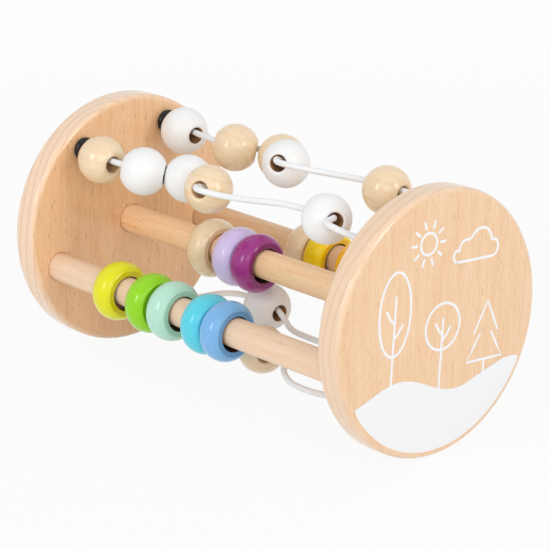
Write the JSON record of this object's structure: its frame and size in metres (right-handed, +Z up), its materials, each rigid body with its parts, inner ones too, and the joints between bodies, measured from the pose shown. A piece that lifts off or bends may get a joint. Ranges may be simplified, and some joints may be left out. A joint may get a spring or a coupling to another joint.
{
  "type": "wooden rolling rattle",
  "caption": "Wooden baby rattle that rolls on two round discs, joined by dowels with sliding coloured rings and by bent white wires with round beads.",
  "frame": {"origin": "on the floor, midway between the discs, under the rolling axis", "axes": "+X along the rolling axis towards the printed disc, +Z up"},
  "size_m": [0.2, 0.1098, 0.1098],
  "materials": {
    "beech": "bare beech, finely sanded",
    "natural": "clear varnish",
    "white": "gloss lacquer on wood",
    "lime": "gloss lacquer on wood",
    "green": "gloss lacquer on wood",
    "mint": "gloss lacquer on wood",
    "turquoise": "gloss lacquer on wood",
    "blue": "gloss lacquer on wood",
    "lilac": "gloss lacquer on wood",
    "purple": "gloss lacquer on wood",
    "yellow": "gloss lacquer on wood",
    "orange": "gloss lacquer on wood",
    "wire": "white plastic coating on steel wire",
    "bush": "matt black"
  },
  "bodies": {
    "frame": {"bush_lower_front_left": "bush", "bush_lower_front_right": "bush", "bush_lower_rear_left": "bush", "bush_lower_rear_right": "bush", "bush_upper_front_left": "bush", "bush_upper_front_right": "bush", "bush_upper_rear_left": "bush", "bush_upper_rear_right": "bush", "disc_left": "beech", "disc_right": "beech", "dowel_front": "beech", "dowel_middle": "beech", "dowel_rear": "beech", "wire_lower_front": "wire", "wire_lower_rear": "wire", "wire_upper_front": "wire", "wire_upper_rear": "wire"},
    "ring_front_lime": {"ring_front_lime": "lime"},
    "ring_front_green": {"ring_front_green": "green"},
    "ring_front_mint": {"ring_front_mint": "mint"},
    "ring_front_turquoise": {"ring_front_turquoise": "turquoise"},
    "ring_front_blue": {"ring_front_blue": "blue"},
    "ring_middle_natural": {"ring_middle_natural": "natural"},
    "ring_middle_lilac": {"ring_middle_lilac": "lilac"},
    "ring_middle_purple": {"ring_middle_purple": "purple"},
    "ring_rear_natural": {"ring_rear_natural": "natural"},
    "ring_rear_yellow": {"ring_rear_yellow": "yellow"},
    "ring_rear_orange": {"ring_rear_orange": "orange"},
    "bead_lower_front_1_natural": {"bead_lower_front_1_natural": "natural"},
    "bead_lower_rear_1_white": {"bead_lower_rear_1_white": "white"},
    "bead_lower_rear_2_natural": {"bead_lower_rear_2_natural": "natural"},
    "bead_upper_front_1_natural": {"bead_upper_front_1_natural": "natural"},
    "bead_upper_front_2_white": {"bead_upper_front_2_white": "white"},
    "bead_upper_front_3_white": {"bead_upper_front_3_white": "white"},
    "bead_upper_front_4_natural": {"bead_upper_front_4_natural": "natural"},
    "bead_upper_front_5_white": {"bead_upper_front_5_white": "white"},
    "bead_upper_rear_1_white": {"bead_upper_rear_1_white": "white"},
    "bead_upper_rear_2_natural": {"bead_upper_rear_2_natural": "natural"},
    "bead_upper_rear_3_natural": {"bead_upper_rear_3_natural": "natural"},
    "bead_upper_rear_4_white": {"bead_upper_rear_4_white": "white"},
    "bead_upper_rear_5_natural": {"bead_upper_rear_5_natural": "natural"}
  },
  "joints": [
    {"name": "ring_front_lime_slide", "type": "slide", "parent": "frame", "child": "ring_front_lime", "axis": [1, 0, 0], "range_m": [-0.0342, 0.005]},
    {"name": "ring_front_green_slide", "type": "slide", "parent": "frame", "child": "ring_front_green", "axis": [1, 0, 0], "range_m": [-0.005, 0.0012]},
    {"name": "ring_front_mint_slide", "type": "slide", "parent": "frame", "child": "ring_front_mint", "axis": [1, 0, 0], "range_m": [-0.0012, 0.00515]},
    {"name": "ring_front_turquoise_slide", "type": "slide", "parent": "frame", "child": "ring_front_turquoise", "axis": [1, 0, 0], "range_m": [-0.00515, 0.0003]},
    {"name": "ring_front_blue_slide", "type": "slide", "parent": "frame", "child": "ring_front_blue", "axis": [1, 0, 0], "range_m": [-0.0003, 0.0619]},
    {"name": "ring_middle_natural_slide", "type": "slide", "parent": "frame", "child": "ring_middle_natural", "axis": [1, 0, 0], "range_m": [-0.0482, 0.00245]},
    {"name": "ring_middle_lilac_slide", "type": "slide", "parent": "frame", "child": "ring_middle_lilac", "axis": [1, 0, 0], "range_m": [-0.00245, 0.0003]},
    {"name": "ring_middle_purple_slide", "type": "slide", "parent": "frame", "child": "ring_middle_purple", "axis": [1, 0, 0], "range_m": [-0.0003, 0.0881]},
    {"name": "ring_rear_natural_slide", "type": "slide", "parent": "frame", "child": "ring_rear_natural", "axis": [1, 0, 0], "range_m": [-0.0635, 0.0005]},
    {"name": "ring_rear_yellow_slide", "type": "slide", "parent": "frame", "child": "ring_rear_yellow", "axis": [1, 0, 0], "range_m": [-0.0005, 0.00415]},
    {"name": "ring_rear_orange_slide", "type": "slide", "parent": "frame", "child": "ring_rear_orange", "axis": [1, 0, 0], "range_m": [-0.00415, 0.069]},
    {"name": "bead_lower_front_1_natural_slide", "type": "slide", "parent": "frame", "child": "bead_lower_front_1_natural", "axis": [0.8403, -0.5368, 0.0763], "range_m": [-0.0045, 0.0035]},
    {"name": "bead_lower_rear_1_white_slide", "type": "slide", "parent": "frame", "child": "bead_lower_rear_1_white", "axis": [0.9929, -0.098, -0.0678], "range_m": [-0.01, 0.005]},
    {"name": "bead_lower_rear_2_natural_slide", "type": "slide", "parent": "frame", "child": "bead_lower_rear_2_natural", "axis": [0.966, 0.1605, -0.2028], "range_m": [-0.014, 0.0025]},
    {"name": "bead_upper_front_1_natural_slide", "type": "slide", "parent": "frame", "child": "bead_upper_front_1_natural", "axis": [0.9964, -0.0769, -0.0355], "range_m": [0, 0.002]},
    {"name": "bead_upper_front_2_white_spin", "type": "hinge", "parent": "frame", "child": "bead_upper_front_2_white", "pos_m": [-0.05259, -0.02213, 0.08825], "axis": [0.7668, 0.625, -0.1465], "continuous": true},
    {"name": "bead_upper_front_3_white_spin", "type": "hinge", "parent": "frame", "child": "bead_upper_front_3_white", "pos_m": [-0.03825, -0.00991, 0.08578], "axis": [0.8131, 0.5692, -0.122], "continuous": true},
    {"name": "bead_upper_front_4_natural_slide", "type": "slide", "parent": "frame", "child": "bead_upper_front_4_natural", "axis": [0.3694, -0.8972, 0.2421], "range_m": [0, 0.0035]},
    {"name": "bead_upper_front_5_white_spin", "type": "hinge", "parent": "frame", "child": "bead_upper_front_5_white", "pos_m": [0.0558, -0.01908, 0.09195], "axis": [0.9176, -0.363, 0.1618], "continuous": true},
    {"name": "bead_upper_rear_1_white_slide", "type": "slide", "parent": "frame", "child": "bead_upper_rear_1_white", "axis": [0.9953, -0.0916, -0.0303], "range_m": [0, 0.0015]},
    {"name": "bead_upper_rear_2_natural_spin", "type": "hinge", "parent": "frame", "child": "bead_upper_rear_2_natural", "pos_m": [-0.04127, 0.01944, 0.09308], "axis": [0.7036, 0.6869, -0.1823], "continuous": true},
    {"name": "bead_upper_rear_3_natural_spin", "type": "hinge", "parent": "frame", "child": "bead_upper_rear_3_natural", "pos_m": [-0.02319, 0.02942, 0.09052], "axis": [1, -0.0025, -0.001], "continuous": true},
    {"name": "bead_upper_rear_4_white_slide", "type": "slide", "parent": "frame", "child": "bead_upper_rear_4_white", "axis": [0.3935, -0.8767, 0.2766], "range_m": [0, 0.0035]},
    {"name": "bead_upper_rear_5_natural_slide", "type": "slide", "parent": "frame", "child": "bead_upper_rear_5_natural", "axis": [0.9985, 0.0532, -0.0083], "range_m": [-0.006, 0.014]}
  ]
}
